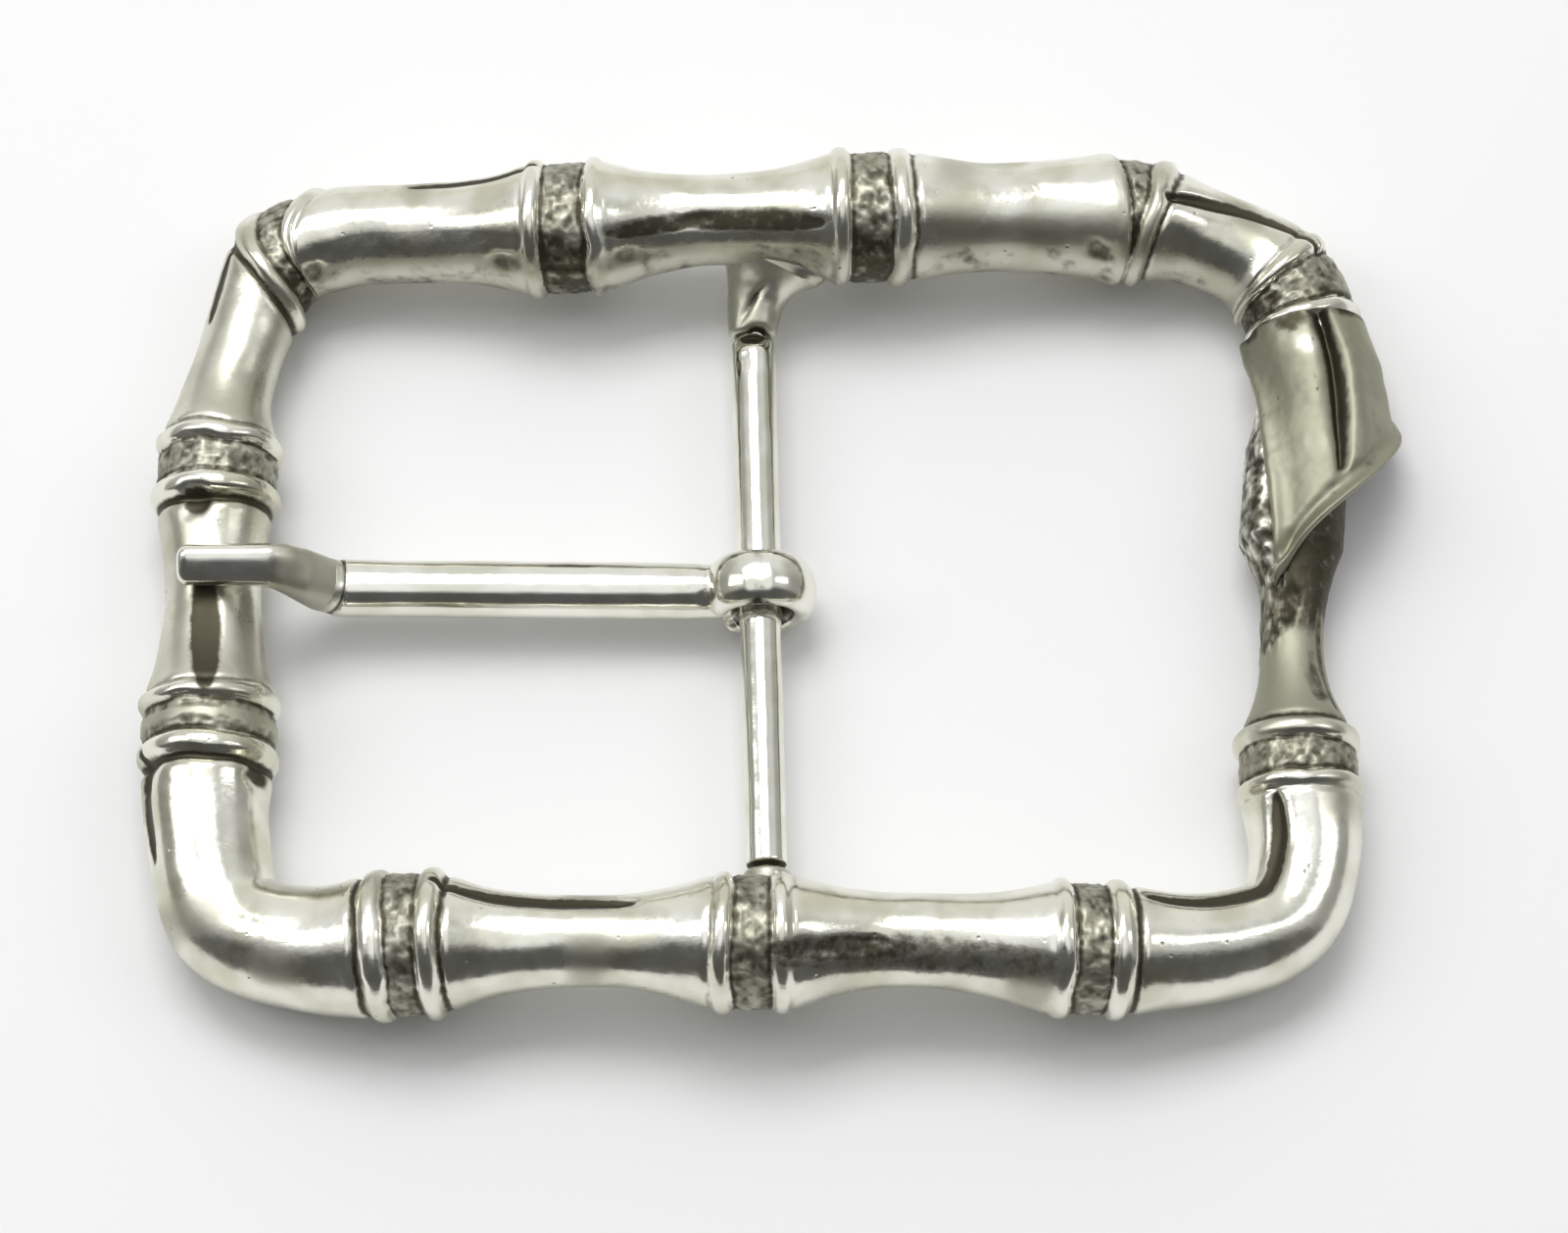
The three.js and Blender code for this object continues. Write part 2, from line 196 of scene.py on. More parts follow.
def closed_curve(points, steps):
    """A centripetal Catmull-Rom loop through the points, with so many steps in each span."""
    count = len(points)
    out = []
    for i in range(count):
        p0, p1, p2, p3 = (points[(i + k) % count] for k in (-1, 0, 1, 2))
        d0, d1, d2 = (np.linalg.norm(b - a) ** 0.5 for a, b in ((p0, p1), (p1, p2), (p2, p3)))
        t1 = ((p1 - p0) / d0 - (p2 - p0) / (d0 + d1) + (p2 - p1) / d1) * d1
        t2 = ((p2 - p1) / d1 - (p3 - p1) / (d1 + d2) + (p3 - p2) / d2) * d1
        t = (np.arange(steps) / steps)[:, None]
        out.append(p1 + t1 * t + (-3 * p1 + 3 * p2 - 2 * t1 - t2) * t ** 2
                   + (2 * p1 - 2 * p2 + t1 + t2) * t ** 3)
    return np.concatenate(out)


STEPS = 60
CENTRES = closed_curve([np.array([p["x"], p["y"], arch_height(p["x"])]) for p in ROUTE], STEPS)
ARC = np.concatenate([[0.0], np.cumsum(np.linalg.norm(np.roll(CENTRES, -1, 0) - CENTRES, axis=1))])
LENGTH = ARC[-1]
JOINTS = [dict(p, s=ARC[i * STEPS]) for i, p in enumerate(ROUTE) if p["rim"]]


def cane_centre(s):
    s = np.mod(s, LENGTH)
    return np.stack([np.interp(s, ARC, np.append(CENTRES[:, k], CENTRES[0, k])) for k in range(3)], -1)


def cane_frame(s):
    """Centre, outward and upward directions of the cane at distances along the ring."""
    reach = 0.4
    along = cane_centre(s + reach) - cane_centre(s - reach)
    along /= np.linalg.norm(along, axis=-1, keepdims=True)
    out = -np.cross(along, UP)
    out /= np.linalg.norm(out, axis=-1, keepdims=True)
    up = np.cross(out, along)
    up *= np.sign(up[..., 2:3])
    return cane_centre(s), out, up


def along_ring(a, b):
    """The signed distance round the ring from b to a."""
    return np.mod(a - b + LENGTH / 2, LENGTH) - LENGTH / 2


def station_at(y):
    """Distance along the ring of the right rail's point at height y on the plan."""
    s = np.linspace(JOINTS[CORNER_JOINT]["s"], JOINTS[HIDDEN_JOINT + 1]["s"], 400)
    return np.interp(-np.asarray(y), -cane_centre(s)[:, 1], s)


# ---- materials -----------------------------------------------------------------------------------
class Nodes:
    """A short way to build a node tree."""

    def __init__(self, tree):
        self.tree = tree

    def add(self, kind, _inputs=None, **settings):
        node = self.tree.nodes.new(kind)
        for key, value in settings.items():
            setattr(node, key, value)
        for key, value in (_inputs or {}).items():
            if isinstance(value, bpy.types.NodeSocket):
                self.tree.links.new(value, node.inputs[key])
            else:
                node.inputs[key].default_value = value
        return node

    def math(self, operation, a, b=0.0, clamp=False):
        return self.add("ShaderNodeMath", {0: a, 1: b}, operation=operation, use_clamp=clamp).outputs[0]

    def mix(self, factor, a, b):
        node = self.add("ShaderNodeMix", {0: factor, 6: a, 7: b}, data_type="RGBA")
        return node.outputs[2]

    def mix_value(self, factor, a, b):
        return self.add("ShaderNodeMix", {0: factor, 2: a, 3: b}, data_type="FLOAT").outputs[0]

    def noise(self, coordinates, scale, detail=3.0, roughness=0.5):
        return self.add("ShaderNodeTexNoise", {"Vector": coordinates, "Scale": scale, "Detail": detail,
                                                "Roughness": roughness}).outputs[0]

    def ramp(self, value, low, high, to_low=0.0, to_high=1.0):
        return self.add("ShaderNodeMapRange", {"Value": value, "From Min": low, "From Max": high,
                                                "To Min": to_low, "To Max": to_high},
                        interpolation_type="SMOOTHSTEP").outputs[0]


# the dark colour of the oxide in the hollows, which is also painted as shade and as dark reflections
OXIDE_AND_SHADE_COLOUR = (0.072, 0.066, 0.045, 1.0)
BROAD_SCALE = 260.0             # of the textures, in lumps to the metre
FINE_SCALE = 1500.0
PIT_SCALE = 900.0
CLUSTER_SCALE = 330.0
SCRATCH_SCALES = (300.0, 5200.0, 2600.0)
OXIDE_ROUGHNESS = 0.50
SATIN_ROUGHNESS = 0.56
DARKENING_FROM, DARKENING_TO = 0.28, 0.80       # darkness mark where the oxide and the painted shade begin, and where they cover
PIT_SIZE = (0.16, 0.05)                 # from the edge of a pit to its floor
BUMP_HEIGHT = 0.00007


def silver(name, colour, tarnish, dull, roughness, cast):
    """Polished silver that is antiqued in its recesses, darkened by painted shade where its dark mark says
    so, and dull where its satin mark says so; the satin mark also paints a dark reflection and a highlight.
    cast is 1 for the lumpy casting and 0 for drawn wire."""
    material = bpy.data.materials.new(name)
    material.use_nodes = True
    n = Nodes(material.node_tree)
    shader = material.node_tree.nodes["Principled BSDF"]
    where = n.add("ShaderNodeTexCoord").outputs["Object"]
    shade_and_oxide = n.add("ShaderNodeAttribute", attribute_name="shade_and_oxide").outputs["Fac"]
    satin_and_painted_light = n.add("ShaderNodeAttribute", attribute_name="satin_and_painted_light").outputs["Fac"]
    broad = n.noise(where, BROAD_SCALE, 2.0)
    fine = n.noise(where, FINE_SCALE, 4.0, 0.6)
    specks = n.add("ShaderNodeTexVoronoi", {"Vector": where, "Scale": PIT_SCALE}).outputs["Distance"]
    clusters = n.ramp(n.noise(where, CLUSTER_SCALE, 2.0), 0.52, 0.66)
    pits = n.math("MULTIPLY", n.ramp(specks, *PIT_SIZE), clusters)
    # dark oxide lies in the recesses, and the same dark colour is painted where there is shade or a dark
    # reflection; it breaks up at its edges, and fills a few casting pits
    ragged = n.math("MULTIPLY", n.math("SUBTRACT", fine, 0.5), 0.55)
    oxide_and_shade_cover = n.ramp(n.math("ADD", shade_and_oxide, ragged), DARKENING_FROM, DARKENING_TO)
    dirt_and_shade = n.math("MAXIMUM", oxide_and_shade_cover, n.math("MULTIPLY", pits, 0.55 * cast + 0.1))
    warm = n.mix(n.ramp(broad, 0.35, 0.7), (*colour, 1.0), (*tarnish, 1.0))
    warm = n.mix(satin_and_painted_light, warm, (*dull, 1.0))
    base = n.mix(dirt_and_shade, warm, OXIDE_AND_SHADE_COLOUR)
    rough = n.mix_value(n.ramp(fine, 0.3, 0.8), roughness * 0.75, roughness * 1.35)
    rough = n.mix_value(satin_and_painted_light, rough, SATIN_ROUGHNESS)
    rough = n.mix_value(dirt_and_shade, rough, OXIDE_ROUGHNESS)
    # fine scratches run along X; pits and the grain of the oxide are sunk
    brushed = n.add("ShaderNodeMapping", {"Vector": where, "Scale": SCRATCH_SCALES}).outputs[0]
    scratches = n.math("MULTIPLY", n.noise(brushed, 1.0, 2.0), 0.12)
    height = n.math("ADD", n.math("MULTIPLY", fine, 0.55 * cast + 0.12), scratches)
    height = n.math("SUBTRACT", height, n.math("MULTIPLY", pits, 1.2 * cast))
    height = n.math("SUBTRACT", height, n.math("MULTIPLY", dirt_and_shade, n.math("MULTIPLY", fine, 1.6)))
    relief = n.add("ShaderNodeBump", {"Height": height, "Strength": 0.35, "Distance": BUMP_HEIGHT})
    material.node_tree.links.new(base, shader.inputs["Base Color"])
    material.node_tree.links.new(rough, shader.inputs["Roughness"])
    material.node_tree.links.new(relief.outputs[0], shader.inputs["Normal"])
    shader.inputs["Metallic"].default_value = 1.0
    return material


CAST = silver("cast_silver", (0.84, 0.83, 0.745), (0.64, 0.63, 0.51), (0.335, 0.33, 0.252), 0.19, 1.0)
DRAWN = silver("drawn_silver", (0.86, 0.855, 0.78), (0.73, 0.725, 0.62), (0.40, 0.39, 0.31), 0.14, 0.0)


def finish_piece(obj, body, material, slot, *nodes):
    """Give a piece its material and its moving body, and hide the CAD nodes that it replaces. The slot
    argument is not used.
    """
    obj.data.materials.append(material)
    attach(obj, body)
    if nodes:
        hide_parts(*nodes)
    return obj


# ---- the cane ring -------------------------------------------------------------------------------
COLUMNS = 160
FINE_STEP = 0.11                # spacing of the rows near a joint
COARSE_STEP = 0.24              # and along the cane
FINE_REACH = 2.2                # how far past a joint's band the rows stay close
LAST_GAP = 0.12                 # how far before the start the last row may lie
SKIN_RADIUS = 4.0               # noise is read on a tube of this radius
CREASED_END, SMOOTH_END = 0.965, 0.995  # the cane's end, as a share of the rim
WAIST_CURVE = 2.4               # higher keeps the waist longer and flares its ends later
LEAF_CLEARANCE = 0.95           # how much the hidden swelling is cut down where the leaf covers it
BEAD_EXTRA = 0.10               # beads are this much wider than the CAD's rims
BEAD_SPREAD = 2.2               # and widen beside a deep crease
PLAIN_CREASE = 0.12             # a crease deeper than this widens its bead
BEAD_DROP = 0.30                # fall of a bead towards its band
BEAD_REACH = 1.12               # where a bead ends, in half widths from its top
CREASE_AT, CREASE_WIDTH = 1.42, 0.46    # in the same measure
CREASE_DARKNESS = 3.4           # darkness for each mm of crease
RIDGE_WIDTH = 0.42              # of the ridge round a joint's band
RIGHT_SIDE = 30.0               # the right rail lies past this x
TOP_BANDS, TOP_FLANK = 20.0, 22.0       # the top rail's bands and dull flank lie past these y
BARE_BEGINS, BARE_ENDS = (-6.4, -2.8), (15.0, 11.0)     # y from no bare skin to full, at both ends
WAIST_BEGINS, WAIST_ENDS = (-12.4, -10.5), (1.0, -3.0)  # the same of the right rail's dull waist
LEFT_RAIL_X, LEFT_RAIL_Y = (-33.0, -36.0), (-14.0, -9.0)    # where the left rail turns satin
# Lengthwise grooves in the cane: from and to as (joint index, distance past it, angle in degrees),
# half width, depth and darkness.
GROOVES = [
    ((3, 2.4, 84.0), (3, 12.0, 46.0), 0.62, 0.50, 1.0),
    ((8, 8.4, 128.0), (8, 20.4, 132.0), 0.70, 0.32, 1.0),
    ((6, 3.4, 122.0), (6, 21.0, 134.0), 0.78, 0.36, 1.0),
    ((10, 2.6, 92.0), (10, 9.8, 86.0), 1.05, 0.18, 1.1),
    # these three are barely cut: their darkness is a painted dark reflection along the top rail's lower
    # side
    ((1, 3.6, 124.0), (1, 9.5, 114.0), 0.75, 0.05, 0.78),
    ((1, 8.5, 115.0), (1, 17.2, 121.0), 0.90, 0.08, 0.84),
    ((0, 4.0, 126.0), (0, 15.5, 124.0), 0.80, 0.04, 0.46),
    ((0, 10.5, 42.0), (0, 18.6, 46.0), 0.55, 0.25, 1.0),
    ((9, 18.0, 28.0), (9, 24.0, 24.0), 0.75, 0.25, 0.9),
    ((11, 11.2, 34.0), (11, 15.2, 38.0), 0.60, 0.20, 0.9),
    ((5, 9.0, 40.0), (5, 16.0, 36.0), 0.42, 0.12, 0.65),
    # these two are barely cut: their darkness is a painted dark reflection along the bottom rail
    ((7, 3.2, 56.0), (7, 19.5, 58.0), 1.50, 0.05, 0.60),
    ((7, 12.5, 62.0), (7, 20.2, 66.0), 1.10, 0.06, 0.72),
]
# Casting pits: (joint index, distance past it, angle in degrees), length, width, depth and darkness.
PITS = [
    # the first is a pit whose darkness is also a painted shadow of the nearby joint's bead
    ((11, -3.4, 80.0), 0.9, 1.3, 0.55, 1.0),
    ((5, 9.2, 112.0), 0.7, 0.6, 0.45, 1.0),
    ((5, 7.9, 98.0), 0.6, 0.5, 0.35, 0.9),
    ((7, 14.6, 72.0), 1.0, 0.5, 0.20, 0.6),
    ((7, 17.6, 64.0), 1.3, 0.5, 0.18, 0.6),
    ((10, -3.5, 30.0), 0.9, 1.3, 0.40, 0.9),
    ((10, -3.7, 150.0), 0.9, 1.1, 0.40, 0.9),
    ((1, 4.2, 148.0), 1.2, 0.8, 0.22, 0.55),
    ((1, -4.0, 146.0), 1.3, 0.7, 0.22, 0.6),
    ((3, -2.6, 150.0), 1.3, 0.8, 0.20, 0.6),
    ((0, 2.4, 150.0), 1.2, 0.8, 0.22, 0.6),
    ((8, -3.4, 60.0), 0.8, 1.4, 0.15, 0.5),
]


def ring_stations():
    """Rows close together at the joints and wider along the cane."""
    s = [0.0]
    while s[-1] < LENGTH - LAST_GAP:
        nearest = min(abs(along_ring(s[-1], j["s"])) - j["half"] for j in JOINTS)
        s.append(s[-1] + (FINE_STEP if nearest < FINE_REACH else COARSE_STEP))
    return np.array(s[:-1]) if LENGTH - s[-1] < LAST_GAP / 2 else np.array(s)


def cane_body(s, outward, skin):
    """Radius of the bare cane, which has a waist between each two rims."""
    radius = np.zeros_like(s)
    uneven = layered(skin, (0.15, 5.0, 9), (0.06, 2.4, 10))
    for i, a in enumerate(JOINTS):
        b = JOINTS[(i + 1) % len(JOINTS)]
        gap = np.mod(b["s"] - a["s"], LENGTH)
        past = np.mod(s - a["s"], LENGTH)
        begin = a["lean"] * a["rim"] * outward + a["half"] * (1 + a["taper"] * outward) + RIM_WIDTH
        end = gap + b["lean"] * b["rim"] * outward - b["half"] * (1 + b["taper"] * outward) - RIM_WIDTH
        u = np.clip(2 * (past - begin) / (end - begin) - 1, -1, 1)
        crease = np.where(u < 0, a["creases"][1], b["creases"][0])
        rim = np.where(u < 0, a["rim"], b["rim"]) * np.where(crease > 0.0, CREASED_END, SMOOTH_END)
        covered = (i + (u >= 0)) == HIDDEN_JOINT
        rim = np.where(covered, rim - LEAF_CLEARANCE * smoothstep(-0.80, -0.50, outward), rim)
        waist = a["waist"] + uneven
        cane = waist + (rim - waist) * np.abs(u) ** WAIST_CURVE
        radius = np.where((past < gap) & (radius == 0), cane, radius)
    return radius


def add_joint(i, radius, shade_and_oxide, matt, on_bead, s, outward, skin, centre, wander):
    """Add one joint's two beads, their creases and the sunk band between them."""
    j = JOINTS[i]
    half = j["half"] * (1 + j["taper"] * outward) + 0.5 * wander
    signed = along_ring(s, j["s"] + j["lean"] * j["rim"] * outward + wander)
    d = np.abs(signed)
    depth = np.where(signed < 0, *j["creases"])
    # bead is 0 on a bead's top, -1 where it meets the band and 1 on its outer side
    half_bead = (RIM_WIDTH + BEAD_EXTRA + BEAD_SPREAD * np.maximum(depth - PLAIN_CREASE, 0)) / 2
    bead = (d - half) / half_bead - 1
    top = j["rim"] + 0.10 * noise(skin, 3.0, 20 + i)
    outer_drop = np.where(depth > 0, 0.16 + 0.8 * depth, 0.05)
    rounded = top - BEAD_DROP * np.abs(np.minimum(bead, 0)) ** 3
    rounded = rounded - outer_drop * np.maximum(bead, 0) ** 2.6
    on_this = np.abs(bead) <= BEAD_REACH
    radius = np.where(on_this, np.maximum(np.minimum(radius, top), rounded), radius)
    radius = np.where(on_this & (bead < 0), np.minimum(radius, rounded), radius)
    on_bead = np.maximum(on_bead, smoothstep(1.3, 0.8, np.abs(bead)))
    crease = bump(bead, CREASE_AT, CREASE_WIDTH)
    radius = radius - depth * crease
    shade_and_oxide = np.maximum(shade_and_oxide, CREASE_DARKNESS * depth * crease)
    # the band is grainy and matt, and darkest along its sides and on the top rail's inner flank
    inside = smoothstep(half + 0.06, half - 0.22, d)
    grain = layered(skin, (0.6, 0.62, 40 + i), (0.4, 0.28, 60 + i))
    ridge = bump(signed, 0.0, RIDGE_WIDTH) * j["ridge"]
    band = j["rim"] - BAND_DEPTH + 0.05 + 0.14 * np.abs(grain) ** 0.8 * np.sign(grain)
    band = band - 0.12 * smoothstep(half - 0.45, half - 0.1, d) + ridge
    radius = lerp(radius, np.minimum(band, radius), inside)
    dark = 0.50 - 0.34 * grain + 0.42 * smoothstep(half - 0.50, half - 0.05, d)
    dark = dark + 0.22 * smoothstep(-0.3, -0.8, outward) * (centre[..., 1] > TOP_BANDS) - 1.3 * ridge
    shade_and_oxide = np.maximum(shade_and_oxide, inside * dark)
    matt = np.maximum(matt, 0.75 * inside)
    return radius, shade_and_oxide, matt, on_bead


def add_bare_skin(radius, shade_and_oxide, outward, skin, centre):
    """The rough, dark skin of the cane where the leaf leaves it bare."""
    y = centre[..., 1]
    fade = 1.6 * (noise(skin, 2.0, 89) - outward)
    bare = smoothstep(*BARE_BEGINS, y + fade) * smoothstep(*BARE_ENDS, y) * (centre[..., 0] > RIGHT_SIDE)
    grain = layered(skin, (0.6, 0.7, 80), (0.4, 0.33, 81))
    inner = smoothstep(-0.2, -0.7, outward)
    radius = radius + bare * lerp(0.04, 0.16, inner) * grain
    dark = lerp(0.84, 0.60, inner) - lerp(0.16, 0.40, inner) * grain
    return radius, np.maximum(shade_and_oxide, bare * dark)


def add_grooves(radius, shade_and_oxide, s, angle, skin):
    """Cut the lengthwise grooves, whose ends are narrower than their middles, and darken them; on the
    shallowest ones the darkness is a painted dark reflection.
    """
    mottle = 0.97 + layered(skin, (0.10, 1.6, 83), (0.07, 0.5, 88))
    for (i0, d0, a0), (i1, d1, a1), half_width, depth, dark in GROOVES:
        s0, s1 = JOINTS[i0]["s"] + d0, JOINTS[i1]["s"] + d1
        t = np.clip(along_ring(s, s0) / (s1 - s0), 0, 1)
        sideways = (angle - np.radians(lerp(a0, a1, t))) * radius
        past_end = along_ring(s, lerp(s0, s1, t)) * 0.5
        width = half_width * (0.55 + 0.45 * np.sqrt(np.clip(np.sin(np.pi * t), 0, 1)))
        shape = bump(np.hypot(sideways, past_end), 0.0, width)
        radius = radius - depth * shape
        shade_and_oxide = np.maximum(shade_and_oxide, dark * mottle * np.minimum(1.0, 1.6 * shape))
    return radius, shade_and_oxide


def add_pits(radius, shade_and_oxide, s, angle, skin):
    """Sink the larger casting pits, with ragged outlines."""
    ragged = 1 + 0.35 * noise(skin, 0.9, 85)
    for (i, d, a), length, width, depth, dark in PITS:
        off = np.hypot(along_ring(s, JOINTS[i]["s"] + d) / length, (angle - np.radians(a)) * radius / width)
        shape = bump(off * ragged, 0.0, 1.0)
        radius = radius - depth * shape
        shade_and_oxide = np.maximum(shade_and_oxide, dark * np.minimum(1.0, 1.4 * shape))
    return radius, shade_and_oxide


def add_dull_skin(shade_and_oxide, matt, on_bead, outward, skin, centre):
    """The satin of the right waist, the left rail, the top rail's inner flank and some patches; the waist
    is also mottled dark, with painted shade growing towards its outer side, and the flank has dark mottles.
    """
    x, y = centre[..., 0], centre[..., 1]
    waist = smoothstep(*WAIST_BEGINS, y) * smoothstep(*WAIST_ENDS, y) * (x > RIGHT_SIDE)
    mottle = smoothstep(-0.10, 0.55, noise(skin, 1.5, 86)) * 0.62 + 0.25 * noise(skin, 0.6, 87)
    # dark mottles on the right waist, with painted shade growing towards its outer side
    shade_and_oxide = np.maximum(shade_and_oxide, 0.85 * waist * mottle * smoothstep(-0.8, 0.6, outward))
    # dark mottles over the top rail's inner flank
    flank = smoothstep(-0.70, -0.90, outward) * (y > TOP_FLANK)
    flank_mottle = 0.30 + layered(skin, (0.26, 1.3, 90), (0.14, 0.5, 91))
    shade_and_oxide = np.maximum(shade_and_oxide, flank * flank_mottle)
    left_rail = smoothstep(*LEFT_RAIL_X, x) * smoothstep(*LEFT_RAIL_Y, y)
    patches = smoothstep(0.20, 0.75, noise(skin, 4.2, 84)) * 0.6
    patches = np.maximum(patches, 0.32 * left_rail * (1 + 0.6 * noise(skin, 3.0, 92)) * (1 - on_bead))
    satin_and_painted_light = np.maximum(np.maximum(matt, 0.95 * waist), np.maximum(patches, 0.5 * flank))
    return shade_and_oxide, satin_and_painted_light


def cane_ring():
    s = ring_stations()[:, None] + np.zeros((1, COLUMNS))
    angle = np.linspace(0, 2 * np.pi, COLUMNS, endpoint=False)[None, :] + np.zeros_like(s)
    centre, out, up = cane_frame(s)
    outward = np.cos(angle)
    ray = np.cos(angle)[..., None] * out + np.sin(angle)[..., None] * up
    skin = centre + SKIN_RADIUS * ray
    radius = cane_body(s, outward, skin)
    shade_and_oxide, matt, on_bead = (np.zeros_like(s) for _ in range(3))
    wander = layered(skin, (0.16, 2.1, 3), (0.05, 0.8, 4))
    for i in range(len(JOINTS)):
        if i != HIDDEN_JOINT:
            radius, shade_and_oxide, matt, on_bead = add_joint(
                i, radius, shade_and_oxide, matt, on_bead, s, outward, skin, centre, wander)
    radius, shade_and_oxide = add_bare_skin(radius, shade_and_oxide, outward, skin, centre)
    radius, shade_and_oxide = add_grooves(radius, shade_and_oxide, s, angle, skin)
    radius, shade_and_oxide = add_pits(radius, shade_and_oxide, s, angle, skin)
    shade_and_oxide, satin_and_painted_light = add_dull_skin(shade_and_oxide, matt, on_bead, outward, skin, centre)
    points = centre + radius[..., None] * ray
    # the ring is ground flat where it rests
    points[..., 2] = np.maximum(points[..., 2], 0.0)
    ring = grid_mesh("cane_ring", points, True, True, {"shade_and_oxide": shade_and_oxide, "satin_and_painted_light": satin_and_painted_light})
    return finish_piece(ring, "frame", CAST, "cast_silver", "frame_casting")


cane_ring()


# ---- the leaf sheath -----------------------------------------------------------------------------
SHEATH_ROOT_Y = 18.9
SHEATH_TIP_Y = -1.2
SHEATH_SLOPE = 0.102            # rise of the free edge, in mm per degree round the cane
SHEATH_ROOT_ANGLES = (195.0, -60.0)
SHEATH_EDGE_ANGLES = (125.0, -50.0)
SHEATH_ROOT_RADIUS = 4.75
SHEATH_TIP_RADIUS = 3.0
SHEATH_WING_RADIUS = 6.55
SHEATH_THICKNESS = 0.75
SHEATH_LENGTHS = (20.0, 3.0)    # of the leaf's inner and outer sides, near enough
SHEATH_GIRTH = 12.0             # turns shares across into mm near the leaf's sides
FOLD_GIRTH = 16.0               # and near its fold
FOLD_FROM = (0.44, 0.00)        # across and along
FOLD_TO = (0.385, 0.80)
FOLD_DEPTH = 1.2
THINNEST = 0.01                 # keeps the two faces apart at the very edge
SHEATH_LOWEST = 0.05            # keeps the leaf above the floor
COLLAR_SHADE = (0.34, 0.08)           # across and along: a patch of painted shade below the collar
PAINTED_HIGHLIGHT = (0.335, 0.175)         # a painted highlight below that: bright and glossy


def sheath_points(across, along, lift):
    """Points of the leaf, lifted from its face by so many millimetres."""
    root_angle = lerp(*SHEATH_ROOT_ANGLES, across)
    edge_angle = lerp(*SHEATH_EDGE_ANGLES, across)
    edge_y = SHEATH_TIP_Y + SHEATH_SLOPE * (SHEATH_EDGE_ANGLES[0] - edge_angle)
    edge_y = edge_y - 0.8 * np.sin(np.pi * np.minimum(1, across / 0.7))
    angle = edge_angle + (root_angle - edge_angle) * (1 - along) ** 2
    turned = np.minimum(1, np.abs(edge_angle / SHEATH_EDGE_ANGLES[0]))
    edge_radius = lerp(SHEATH_TIP_RADIUS, SHEATH_WING_RADIUS, np.cos(turned * np.pi / 2) ** 1.5)
    # the root hugs the cane at its sides, and the wing widens steadily from the collar to its corner
    outward = np.cos(np.radians(angle))
    root_radius = SHEATH_ROOT_RADIUS - 0.4 * outward ** 2
    growth = along ** lerp(1.5, 1.0, np.clip(outward, 0, 1) ** 2)
    radius = lerp(root_radius, edge_radius, growth) + lift
    centre, out, up = cane_frame(station_at(lerp(SHEATH_ROOT_Y, edge_y, along)))
    turn = np.radians(angle)[..., None]
    return centre + radius[..., None] * (np.cos(turn) * out + np.sin(turn) * up)


def sheath_relief(across, along):
    """Height of the leaf's relief above its plain face, and how deep in a recess it lies."""
    length = lerp(*SHEATH_LENGTHS, across)
    to_edge = (1 - along) * length
    to_side = across * SHEATH_GIRTH
    # the free edge and the inner side have a raised rim with a hollow behind it
    rim = 0.30 * bump(to_edge, 0.50, 0.36) + 0.26 * bump(to_side, 0.5, 0.38)
    edge_hollow = lerp(0.34, 0.12, smoothstep(0.5, 0.7, across))
    hollow = edge_hollow * bump(to_edge, 1.45, 0.70) + 0.16 * bump(to_side, 1.6, 0.7)
    # the fold runs from the collar towards the free edge, deepest at its middle
    t = np.clip((along - FOLD_FROM[1]) / (FOLD_TO[1] - FOLD_FROM[1]), 0, 1)
    off = (across - lerp(FOLD_FROM[0], FOLD_TO[0], t)) * FOLD_GIRTH
    past = np.maximum(along - FOLD_TO[1], 0) * length
    width = 0.30 + 0.48 * np.sin(np.pi * np.clip(0.10 + 0.80 * t, 0, 1))
    fold = bump(off, 0.0, np.where(off > 0, 0.55 * width, width)) * bump(past, 0.0, 0.5)
    fold = fold * (0.55 + 0.45 * np.sin(np.pi * np.clip(0.1 + 0.85 * t, 0, 1)))
    # a lip and a dish lie on its outer side, and a sunk panel on its inner side
    lip = 0.10 * bump(off, 1.25, 0.8) * bump(past, 0.0, 1.0)
    dish = 0.28 * bump(off, 2.6, 1.6) * smoothstep(0.15, 0.6, along)
    panel = 0.22 * bump(off, -3.6, 1.8) * smoothstep(0.1, 0.4, along)
    shade_and_oxide = 1.5 * fold + 0.30 * bump(to_edge, 1.2, 0.35)
    return rim - hollow - FOLD_DEPTH * fold + lip - dish - panel, shade_and_oxide


